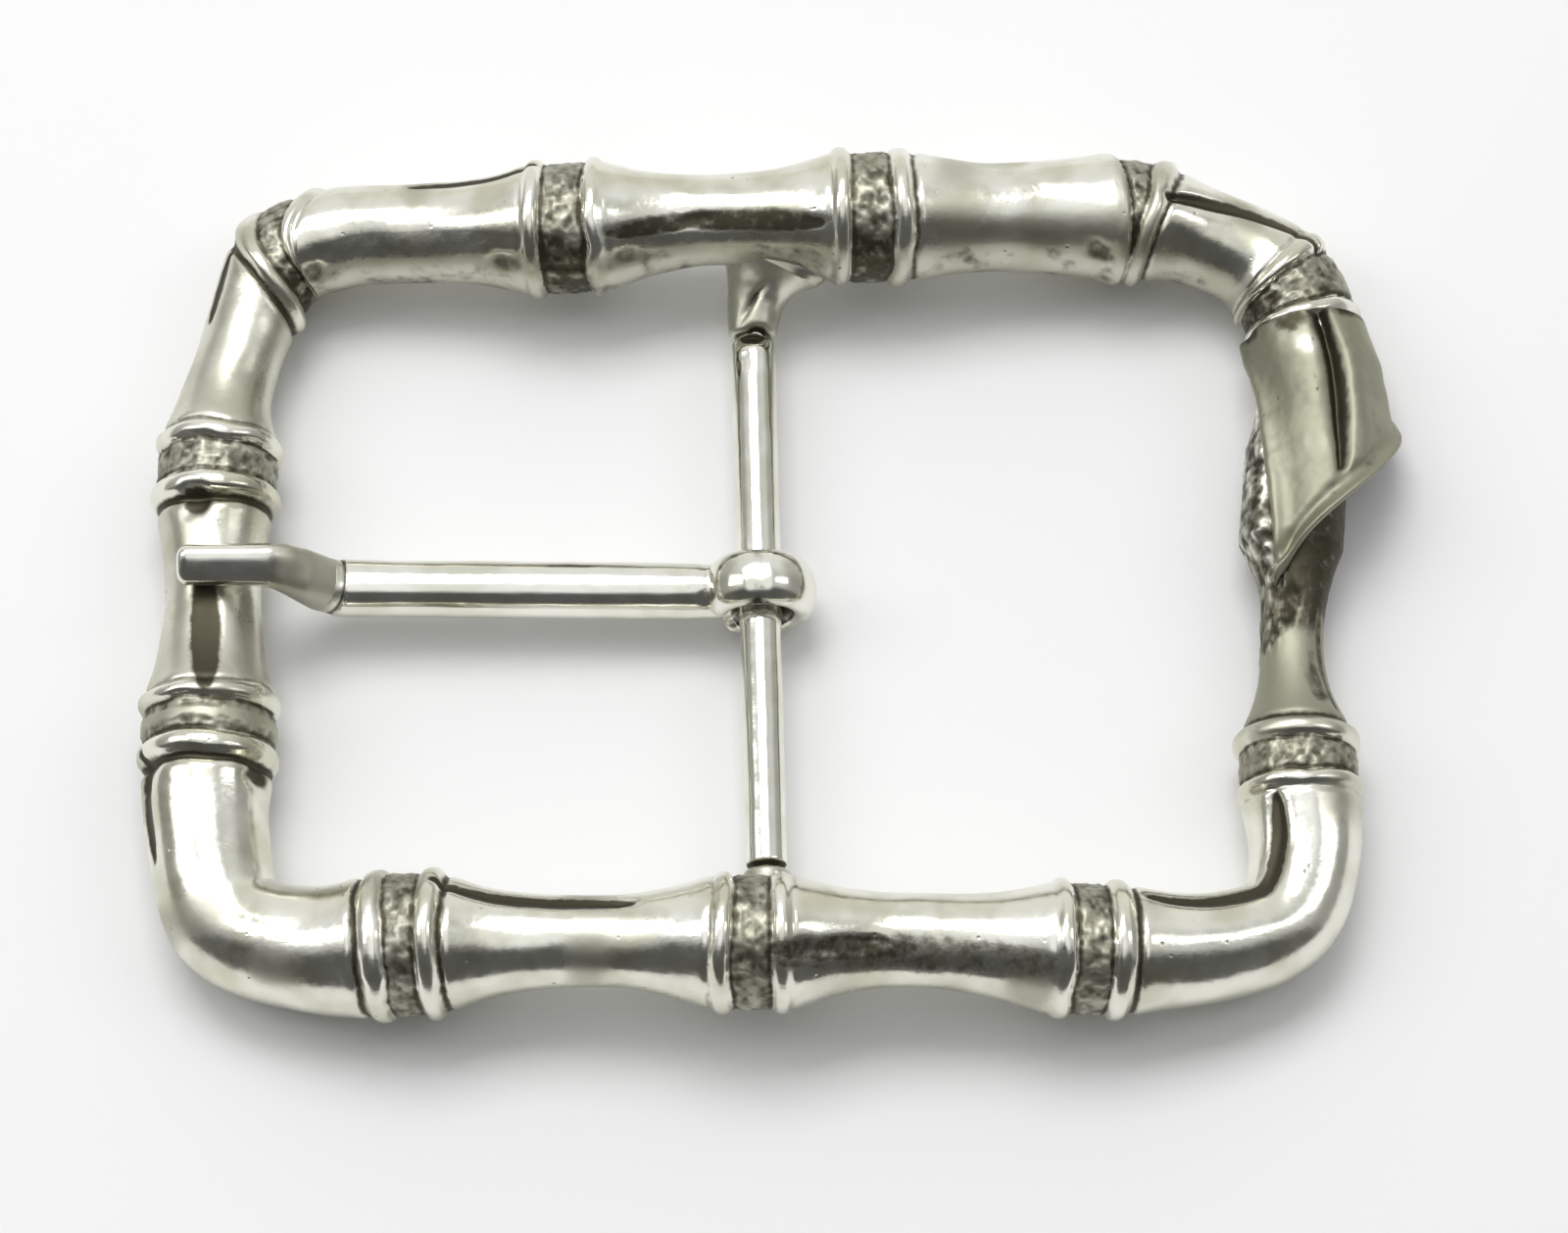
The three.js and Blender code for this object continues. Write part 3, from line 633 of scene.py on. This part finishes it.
def leaf_sheath():
    rows, columns = 200, 240
    along = np.linspace(0, 1, rows)[:, None] + np.zeros((1, columns))
    across = np.linspace(0, 1, columns)[None, :] + np.zeros((rows, 1))
    relief, shade_and_oxide = sheath_relief(across, along)
    plain = sheath_points(across, along, np.zeros_like(along))
    relief = relief + layered(plain, (0.14, 3.4, 7), (0.045, 1.1, 8), (0.02, 0.5, 9))
    shade_and_oxide = shade_and_oxide + 0.22 * smoothstep(0.1, 0.8, noise(plain, 1.6, 32)) + 0.10 * noise(plain, 0.5, 33)
    # painted shade where the collar's rim overhangs the root of the leaf
    shade_and_oxide = shade_and_oxide + 0.75 * bump(along, 0.0, 0.045) * (0.8 + 0.5 * noise(plain, 0.9, 34))
    # a mottled patch of painted shade just below the collar
    collar_shade = bump(across, COLLAR_SHADE[0], 0.07) * bump(along, COLLAR_SHADE[1], 0.06)
    shade_and_oxide = shade_and_oxide + 0.60 * collar_shade * (0.9 + 0.6 * noise(plain, 0.8, 35))
    painted_highlight = bump(across, PAINTED_HIGHLIGHT[0], 0.035) * bump(along, PAINTED_HIGHLIGHT[1], 0.035)
    # the two faces draw together in a rounded edge round the free sides
    to_sides = np.minimum(across, 1 - across) * SHEATH_GIRTH
    inset = np.minimum(to_sides, (1 - along) * lerp(*SHEATH_LENGTHS, across))
    half = SHEATH_THICKNESS / 2
    swell = half * np.sqrt(np.clip(1 - (1 - np.minimum(inset / half, 1)) ** 2, THINNEST, 1))
    front = relief - half + swell
    behind = np.minimum(np.maximum(relief, -0.25) - half - swell, front - 0.8 * swell)
    face = sheath_points(across, along, front)
    back = sheath_points(across, along, behind)
    under = 0.9 - 0.5 * noise(plain, 0.6, 30)

    def wrap(face_values, back_values):
        """Join the two faces to one section, reversed so that its faces point outwards."""
        return np.concatenate([face_values, back_values[:, -2:0:-1]], axis=1)[:, ::-1]

    points = wrap(face, back)
    points[..., 2] = np.maximum(points[..., 2], SHEATH_LOWEST)
    # the painted highlight lowers the satin there, so the leaf is brighter and glossier
    satin_and_painted_light = 1.0 + 0.16 * noise(points, 3.0, 31) - 0.9 * wrap(painted_highlight, 0 * painted_highlight)
    marks = {"shade_and_oxide": wrap(shade_and_oxide, under), "satin_and_painted_light": satin_and_painted_light}
    leaf = grid_mesh("leaf_sheath", points, False, True, marks, caps=True)
    return finish_piece(leaf, "frame", CAST, "cast_silver", "frame_casting")


leaf_sheath()


# ---- tubes along a route -------------------------------------------------------------------------
ROUND = 2.0                     # squareness of a true oval


def oval_reach(c, s, square):
    """Radius of a unit superellipse in the direction whose cosine and sine are c and s."""
    return (np.abs(c) ** square + np.abs(s) ** square) ** (-1 / square)


def tube_points(centres, half_widths, half_heights, square, columns, roll=0.0):
    """An oval tube through centres, turned by roll. A square above ROUND makes its section squarer."""
    along = np.gradient(centres, axis=0)
    along /= np.linalg.norm(along, axis=1, keepdims=True)
    side = np.cross(UP, along)
    side /= np.linalg.norm(side, axis=1, keepdims=True)
    up = np.cross(along, side)
    turn = np.broadcast_to(roll, len(centres))[:, None]
    side, up = side * np.cos(turn) + up * np.sin(turn), up * np.cos(turn) - side * np.sin(turn)
    angle = np.linspace(0, 2 * np.pi, columns, endpoint=False)[None, :]
    c, s = np.cos(angle), np.sin(angle)
    reach = oval_reach(c, s, square[:, None])
    x = (reach * c * half_widths[:, None])[..., None]
    z = (reach * s * half_heights[:, None])[..., None]
    return centres[:, None] + x * side[:, None] + z * up[:, None], angle + 0 * reach


def push_out(points, centres, amount):
    """Move tube points away from the centre line."""
    ray = points - centres[:, None]
    return points + ray / np.linalg.norm(ray, axis=-1, keepdims=True) * amount[..., None]


def bar_point(y):
    """The centre of the bar, which leans a little, at y."""
    y = np.asarray(y, float)
    return np.stack([BAR_X + BAR_LEAN * y, y, BAR_HEIGHT + 0 * y], -1)


# ---- the lugs ------------------------------------------------------------------------------------
LUG_RADIUS = 1.68
LUG_LENGTH = 9.0                # near enough, to turn shares of a horn's length into mm
LUG_ROUND = 0.5                 # length of the rounded end
LUG_ROOT_RADIUS = 2.1           # the hidden root is no wider, so it stays inside the rail
LUG_ROOT_GROWTH = 2.4           # of that limit, from the root to the end
LUG_FLARE = (0.20, 0.50)        # where its flare begins to shrink, and over what share of its length


def lug(name, root, elbow, end_y, root_radius, flare, dents):
    """A horn from a rail down to the bar, spread sideways by flare where it leaves the rail.
    dents are (along, angle, length, width, tilt, depth) marks on it."""
    rows, columns = 150, 96
    t = np.linspace(0, 1, rows)
    ends = np.array([root, elbow, bar_point(end_y)])
    shares = np.stack([(1 - t) ** 2, 2 * t * (1 - t), t ** 2], axis=1)
    centres = shares @ ends
    radius = lerp(root_radius, LUG_RADIUS, np.sqrt(t)) + 1.5 * (1 - t) ** 3.5
    radius = np.minimum(radius, LUG_ROOT_RADIUS + LUG_ROOT_GROWTH * t)
    last = np.clip((1 - t) * LUG_LENGTH / LUG_ROUND, 0, 1)
    radius = radius * (0.80 + 0.20 * np.sqrt(1 - (1 - last) ** 2))
    spread = flare * (1 - np.clip((t - LUG_FLARE[0]) / LUG_FLARE[1], 0, 1)) ** 2.2
    centres[:, 0] += 0.30 * spread
    points, angle = tube_points(centres, radius + spread, radius, np.full(rows, ROUND), columns)
    depth = layered(points, (0.07, 1.9, 50), (0.02, 0.6, 51))
    shade_and_oxide = 0.10 + 0.28 * noise(points, 0.8, 52) + 0.35 * bump(t, 0.0, 0.28)[:, None]
    for at, where, length, width, tilt, sink in dents:
        a = (t[:, None] - at) * LUG_LENGTH
        b = turn_from(angle, math.radians(where)) * radius[:, None]
        turn = math.radians(tilt)
        u = a * math.cos(turn) + b * math.sin(turn)
        v = -a * math.sin(turn) + b * math.cos(turn)
        shape = bump(u, 0.0, length) * bump(v, 0.0, width)
        depth = depth - sink * shape
        shade_and_oxide = np.maximum(shade_and_oxide, 1.4 * shape * min(1.0, sink * 2.0))
    points = push_out(points, centres, depth)
    satin_and_painted_light = 0.55 + 0.45 * noise(points, 1.8, 53)
    horn = grid_mesh(name, points, False, True, {"shade_and_oxide": shade_and_oxide, "satin_and_painted_light": satin_and_painted_light}, caps=True)
    return finish_piece(horn, "frame", CAST, "cast_silver", "frame_casting")


lug("upper_lug", (0.2, 26.4, 6.4), (-1.7, 22.6, BAR_HEIGHT), BAR_TOP + GAP, 3.1, 1.6, [
    (0.68, 92.0, 1.9, 0.30, 22.0, 0.30),
    (1.00, 75.0, 0.50, 0.9, 0.0, 0.60),
])
lug("lower_lug", (-0.8, -26.6, 6.2), (-0.5, -24.2, BAR_HEIGHT), BAR_BOTTOM - GAP, 2.6, 1.2, [
    (0.62, 90.0, 2.2, 0.26, 32.0, 0.32),
    (0.62, 90.0, 2.2, 0.26, -32.0, 0.32),
    (0.45, 150.0, 1.2, 0.9, 0.0, 0.25),
])


# ---- the bar -------------------------------------------------------------------------------------
TENON_RADIUS = 1.0
TENON_LENGTH = 2.4
BAR_SHOULDER = 0.35             # rounding at each end of the bar
BAR_WEAR = 0.14                 # the bar is this much thinner below the prong
WEAR_FADE = (-0.5, -4.0)        # y from full thickness to the thinner bar
NICK_DEPTH, NICK_ANGLE = 0.55, 1.5      # angles round the bar, in radians
FLAT_DEPTH, FLAT_ANGLE = 0.1, 1.1


def centre_bar():
    """Drawn wire with a turned-down tenon at each end, nicked at the top where it was soldered in."""
    lower_tenon = np.linspace(BAR_BOTTOM - TENON_LENGTH, BAR_BOTTOM - 0.02, 8)
    upper_tenon = np.linspace(BAR_TOP + 0.02, BAR_TOP + TENON_LENGTH, 8)
    y = np.concatenate([lower_tenon, np.linspace(BAR_BOTTOM, BAR_TOP, 420), upper_tenon])
    on_bar = (y >= BAR_BOTTOM) & (y <= BAR_TOP)
    inset = np.clip(np.minimum(y - BAR_BOTTOM, BAR_TOP - y) / BAR_SHOULDER, 0, 1)
    rounded = BAR_RADIUS - BAR_SHOULDER * (1 - np.sqrt(1 - (1 - inset) ** 2))
    radius = np.where(on_bar, rounded, TENON_RADIUS) - BAR_WEAR * smoothstep(*WEAR_FADE, y)
    centres = bar_point(y)
    points, angle = tube_points(centres, radius, radius, np.full(len(y), ROUND), 72)
    y = y[:, None]
    depth = layered(points, (0.035, 4.0, 55), (0.012, 1.0, 56))
    nick = bump(y, BAR_TOP - 0.15, 0.50) * bump(turn_from(angle, NICK_ANGLE), 0.0, 0.80)
    flat = bump(y, BAR_TOP - 1.8, 0.8) * bump(turn_from(angle, FLAT_ANGLE), 0.0, 0.5)
    depth = depth - NICK_DEPTH * nick - FLAT_DEPTH * flat
    points = push_out(points, centres, depth * on_bar[:, None])
    at_ends = bump(np.minimum(BAR_TOP - y, y - BAR_BOTTOM), 0.0, 0.22)
    # painted shade on the bar in the gaps beside the prong's eye
    eye_gap_shade = 0.55 * bump(np.abs(y - PRONG_Y), 2.1, 0.35)
    shade_and_oxide = np.maximum(1.5 * nick, np.maximum(at_ends, eye_gap_shade))
    wire = grid_mesh("bar_wire", points, False, True, {"shade_and_oxide": shade_and_oxide}, caps=True)
    return finish_piece(wire, "frame", DRAWN, "drawn_silver", "centre_bar")


centre_bar()


# ---- the prong -----------------------------------------------------------------------------------
EYE_THICKNESS = 2.0
EYE_WIDTH = 4.0
EYE_TAIL_ANGLE = -142.0
EYE_ROOT_ANGLE = 165.0
EYE_SQUARENESS = 2.15
EYE_CROWN = 0.10                # rise of the middle of the eye's outer face
EYE_WAIST_ANGLE = 92.0          # of the dip on top of the eye, painted dark for the dark reflection between its two highlights
EYE_WAIST_DEPTH = 0.13
EYE_TAIL_ROUND = 0.035          # share of the eye's length over which its tail is rounded
# Stations of the shank from the eye to the tip: x, height, half width, half height and squareness.
SHANK = [
    (-3.0, 4.1, 1.80, 1.60, 2.0),
    (-4.4, 4.1, 1.92, 1.84, 2.0),
    (-5.9, 4.12, 1.95, 1.92, 2.0),
    (-12.0, 4.27, 1.95, 1.95, 2.15),
    (-19.0, 4.4, 1.95, 1.95, 2.15),
    (-29.6, 4.65, 1.95, 1.95, 2.2),
    (-30.1, 4.78, 1.93, 1.92, 2.3),
    (-30.35, 4.9, 1.80, 1.78, 2.4),
    (-31.2, 5.45, 1.76, 1.68, 2.6),
    (-32.6, 7.4, 1.70, 1.48, 2.8),
    (-33.7, 8.5, 1.60, 1.22, 2.9),
    (-34.6, 8.9, 1.50, 1.12, 3.0),
    (-35.6, TIP_HEIGHT, 1.45, 1.08, 3.0),
    (-40.0, TIP_HEIGHT, 1.42, 1.05, 3.0),
]
TIP_ROUND = 0.8
TIP_ROLL = math.radians(-30.0)
ROLL_X = (-31.0, -34.5)         # x from no roll to full roll
NECK_X = -4.85                  # of the faint groove where the shank leaves the eye
STEP_X = -30.45                 # of the step where the joggle begins
JOGGLE_BEGINS, JOGGLE_ENDS = (-30.3, -31.2), (-35.2, -33.6)     # x from polished to the matt joggle, whose darker colour is a painted dark reflection, at both ends
BLUR = np.array([1, 4, 7, 4, 1]) / 17   # softens the corners between the stations


def prong_shank():
    table = np.array(SHANK)
    run = np.concatenate([[0], np.cumsum(np.hypot(np.diff(table[:, 0]), np.diff(table[:, 1])))])
    fine = np.linspace(0, run[-1], 420)
    values = np.stack([np.interp(fine, run, column) for column in table.T], -1)
    padded = np.pad(values, ((2, 2), (0, 0)), mode="edge")
    values = sum(padded[k:k + len(values)] * weight for k, weight in enumerate(BLUR))
    # a rounded end beyond the last station
    turn = np.linspace(0.08, 0.97, 12) * np.pi / 2
    end = np.repeat(values[-1:], len(turn), axis=0)
    end[:, 0] -= TIP_ROUND * np.sin(turn)
    end[:, 2:4] *= (1 - 0.55 * (1 - np.cos(turn)))[:, None]
    x, height, half_width, half_height, square = np.concatenate([values, end]).T
    centres = np.stack([x, np.full(len(x), PRONG_Y), height], -1)
    roll = TIP_ROLL * smoothstep(*ROLL_X, x)
    points, angle = tube_points(centres, half_width, half_height, square, 96, roll)
    x = x[:, None] + 0 * angle
    neck = bump(x, NECK_X, 0.42)
    step = bump(x, STEP_X, 0.22)
    depth = layered(points, (0.035, 5.0, 57), (0.012, 1.3, 58))
    depth = depth - 0.05 * neck * (0.6 + 1.2 * noise(points, 0.7, 59))
    shade_and_oxide = np.maximum(0.22 * neck * (0.8 + 1.2 * noise(points, 0.6, 60)), 0.75 * step)
    points = push_out(points, centres, depth)
    # the flattened joggle is made matt, and its darker dull colour is painted, standing in for the dark
    # reflection off its sloping face
    joggle = smoothstep(*JOGGLE_BEGINS, x) * smoothstep(*JOGGLE_ENDS, x)
    marks = {"shade_and_oxide": shade_and_oxide, "satin_and_painted_light": 0.8 * joggle}
    shank = grid_mesh("prong_shank", points, False, True, marks, caps=True)
    return finish_piece(shank, "prong", DRAWN, "drawn_silver", "prong")


def prong_eye():
    """The strip bent round the bar, from its tail under the shank to its root in the shank."""
    steps, columns = 240, 64
    turn = np.radians(np.linspace(EYE_TAIL_ANGLE, EYE_ROOT_ANGLE, steps))
    middle = BAR_RADIUS + GAP + EYE_THICKNESS / 2
    along_bar = np.array([BAR_LEAN, 1.0, 0.0]) / math.hypot(BAR_LEAN, 1.0)
    right = np.cross(along_bar, UP)
    radial = np.cos(turn)[:, None] * right + np.sin(turn)[:, None] * UP
    centres = bar_point(np.full(steps, PRONG_Y)) + radial * middle
    share = np.linspace(0, 1, steps)
    tail = 0.35 + 0.65 * np.sqrt(np.clip(1 - (1 - np.clip(share / EYE_TAIL_ROUND, 0, 1)) ** 2, 0, 1))
    angle = np.linspace(0, 2 * np.pi, columns, endpoint=False)[None, :]
    c, s = np.cos(angle), np.sin(angle)
    reach = oval_reach(c, s, EYE_SQUARENESS)
    across = reach * c * (EYE_WIDTH / 2 * tail)[:, None]
    through = reach * s * (EYE_THICKNESS / 2 * tail)[:, None]
    sideways = np.abs(across) / (EYE_WIDTH / 2)
    crown = np.where(through > 0, EYE_CROWN * (1 - sideways ** 2), 0.0)
    waist = bump(np.degrees(turn), EYE_WAIST_ANGLE, 10.0)[:, None]
    through = through + crown - EYE_WAIST_DEPTH * waist * (s > 0)
    points = centres[:, None] - across[..., None] * along_bar + through[..., None] * radial[:, None]
    depth = 0.03 * noise(points, 1.6, 61) * (s > 0)
    points = points + radial[:, None] * depth[..., None]
    # the eye is dark inside and at the edges of its strip, and the dip on its top is painted dark as a
    # reflection
    shade_and_oxide = 0.35 * smoothstep(0.72, 0.98, sideways) + 0.6 * (s < -0.5) + 0.45 * waist * (s > 0)
    shade_and_oxide = np.maximum(shade_and_oxide, 0.35 * smoothstep(0.93, 0.985, share)[:, None])
    eye = grid_mesh("prong_eye", points, False, True, {"shade_and_oxide": shade_and_oxide}, caps=True)
    return finish_piece(eye, "prong", DRAWN, "drawn_silver", "prong")


prong_shank()
prong_eye()


# ---- stage, light and camera ---------------------------------------------------------------------
TARGET = Vector((0.6, -0.7, 0.0)) * MM
CAMERA_ELEVATION = math.radians(68.0)
CAMERA_DISTANCE = 330.0 * MM
LENS = 108.4
FLOOR_REACH = 3000.0
FLOOR_DROP = 0.02               # keeps the floor clear of the buckle's flat lands
FLOOR_COLOURS = (0.845, 0.845, 0.84, 1.0), (0.865, 0.865, 0.86, 1.0)
SIDE_LIGHT = (0.52, 0.60)       # of the room, from the horizon up
NORTH_LIGHT = 0.86
OVERHEAD_LIGHT = 1.0
SOUTH_LIGHT = 0.10
CORNER_LIGHT = 0.15


def camera():
    """The main view, from the south and high above."""
    data = bpy.data.cameras.new("camera")
    data.lens = LENS
    data.sensor_width = 36.0
    data.clip_start, data.clip_end = 0.01, 20.0
    obj = bpy.data.objects.new("camera", data)
    back = Vector((0, -math.cos(CAMERA_ELEVATION), math.sin(CAMERA_ELEVATION)))
    obj.location = TARGET + back * CAMERA_DISTANCE
    obj.rotation_mode = "QUATERNION"
    obj.rotation_quaternion = (-back).to_track_quat("-Z", "Y")
    bpy.context.scene.collection.objects.link(obj)
    bpy.context.scene.camera = obj


def floor():
    edge = np.linspace(-FLOOR_REACH, FLOOR_REACH, 3)
    points = np.stack(np.meshgrid(edge, edge, [0.0], indexing="ij"), -1)[:, :, 0]
    obj = grid_mesh("floor", points)
    material = bpy.data.materials.new("floor_white")
    material.use_nodes = True
    n = Nodes(material.node_tree)
    shader = material.node_tree.nodes["Principled BSDF"]
    where = n.add("ShaderNodeTexCoord").outputs["Object"]
    shade = n.mix(n.noise(where, 6.0, 2.0), *FLOOR_COLOURS)
    material.node_tree.links.new(shade, shader.inputs["Base Color"])
    shader.inputs["Roughness"].default_value = 0.85
    shader.inputs["Specular IOR Level"].default_value = 0.1
    obj.data.materials.append(material)
    obj.location.z = -FLOOR_DROP * MM


def softbox(name, direction, distance, width, height, watts):
    """A rectangular light that faces the buckle from a direction. Sizes are in metres."""
    data = bpy.data.lights.new(name, "AREA")
    data.shape = "RECTANGLE"
    data.size, data.size_y = width, height
    data.energy = watts
    obj = bpy.data.objects.new(name, data)
    away = Vector(direction).normalized()
    obj.location = away * distance
    obj.rotation_mode = "QUATERNION"
    obj.rotation_quaternion = away.to_track_quat("Z", "Y")
    bpy.context.scene.collection.objects.link(obj)


def surroundings():
    """A pale room: light above and to the north, a dark stretch to the south where nothing is lit."""
    world = bpy.data.worlds.new("studio")
    bpy.context.scene.world = world
    world.use_nodes = True
    n = Nodes(world.node_tree)
    background = world.node_tree.nodes["Background"]
    towards = n.add("ShaderNodeTexCoord").outputs["Generated"]
    parts = n.add("ShaderNodeSeparateXYZ", {0: towards})
    x, y, z = (parts.outputs[k] for k in range(3))
    light = n.ramp(z, 0.0, 0.75, *SIDE_LIGHT)
    north = n.math("MULTIPLY", n.ramp(y, 0.25, 0.55), n.ramp(z, 0.92, 0.75))
    light = n.mix_value(north, light, NORTH_LIGHT)
    overhead = n.math("MULTIPLY", n.ramp(z, 0.84, 0.93), n.ramp(n.math("ABSOLUTE", x), 0.42, 0.22))
    light = n.mix_value(overhead, light, OVERHEAD_LIGHT)
    south = n.math("MULTIPLY", n.ramp(y, -0.16, -0.40), n.ramp(z, 0.955, 0.80))
    light = n.mix_value(south, light, SOUTH_LIGHT)
    sides = n.math("MULTIPLY", n.ramp(n.math("ABSOLUTE", x), 0.45, 0.75), n.ramp(z, 0.70, 0.35))
    light = n.mix_value(n.math("MULTIPLY", sides, 0.5), light, CORNER_LIGHT)
    tint = n.mix(n.ramp(z, 0.0, 0.8), (1.0, 0.985, 0.93, 1), (0.97, 0.985, 1.0, 1))
    world.node_tree.links.new(tint, background.inputs["Color"])
    world.node_tree.links.new(light, background.inputs["Strength"])


camera()
floor()
surroundings()
softbox("key", (-0.12, 0.36, 0.9), 0.62, 0.36, 0.26, 1.78)
softbox("west", (-0.72, 0.12, 0.75), 0.66, 0.22, 0.36, 0.65)
softbox("east", (0.75, 0.1, 0.8), 0.7, 0.14, 0.36, 0.32)
bpy.context.scene.view_settings.view_transform = "Standard"
